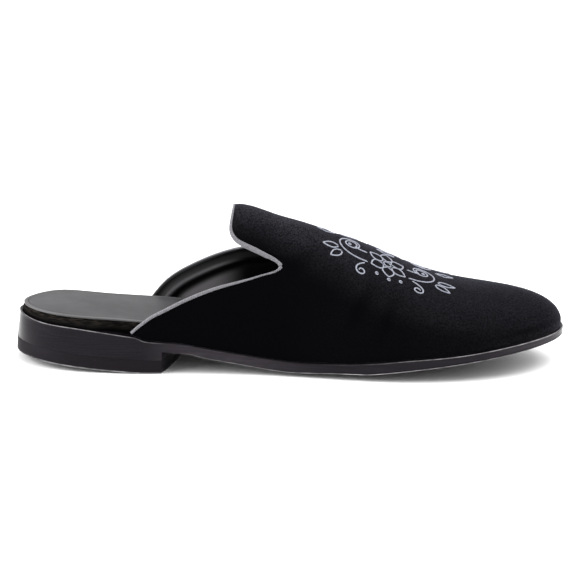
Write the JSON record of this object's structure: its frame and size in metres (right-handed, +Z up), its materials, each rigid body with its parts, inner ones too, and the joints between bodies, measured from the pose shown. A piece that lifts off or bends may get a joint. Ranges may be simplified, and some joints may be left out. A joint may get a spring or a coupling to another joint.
{
  "type": "half loafer",
  "caption": "Backless velvet half loafer: covered toe with a bound, notched topline, padded footbed, leather sole with toe spring and a low stacked heel.",
  "frame": {"origin": "on the floor, under the middle of the shoe's bounding box", "axes": "+X from heel to toe, +Y towards the inner (medial) side, +Z up"},
  "size_m": [0.299, 0.0984, 0.0863],
  "materials": {
    "sole_leather": "dyed and burnished sole edge, dark grey black",
    "heel_leather": "polished black stacked leather",
    "top_lift_rubber": "matte black rubber",
    "footbed_wrap": "dark brown black fibrous wrap",
    "sock_leather": "smooth dark grey lining leather",
    "velvet": "black short-pile velvet",
    "grosgrain": "light grey ribbed grosgrain"
  },
  "bodies": {
    "root": {"outsole": "sole_leather", "heel_block": "heel_leather", "heel_top_lift": "top_lift_rubber", "insole": "footbed_wrap", "sock": "sock_leather", "upper": "velvet", "topline_binding": "grosgrain"}
  },
  "joints": []
}
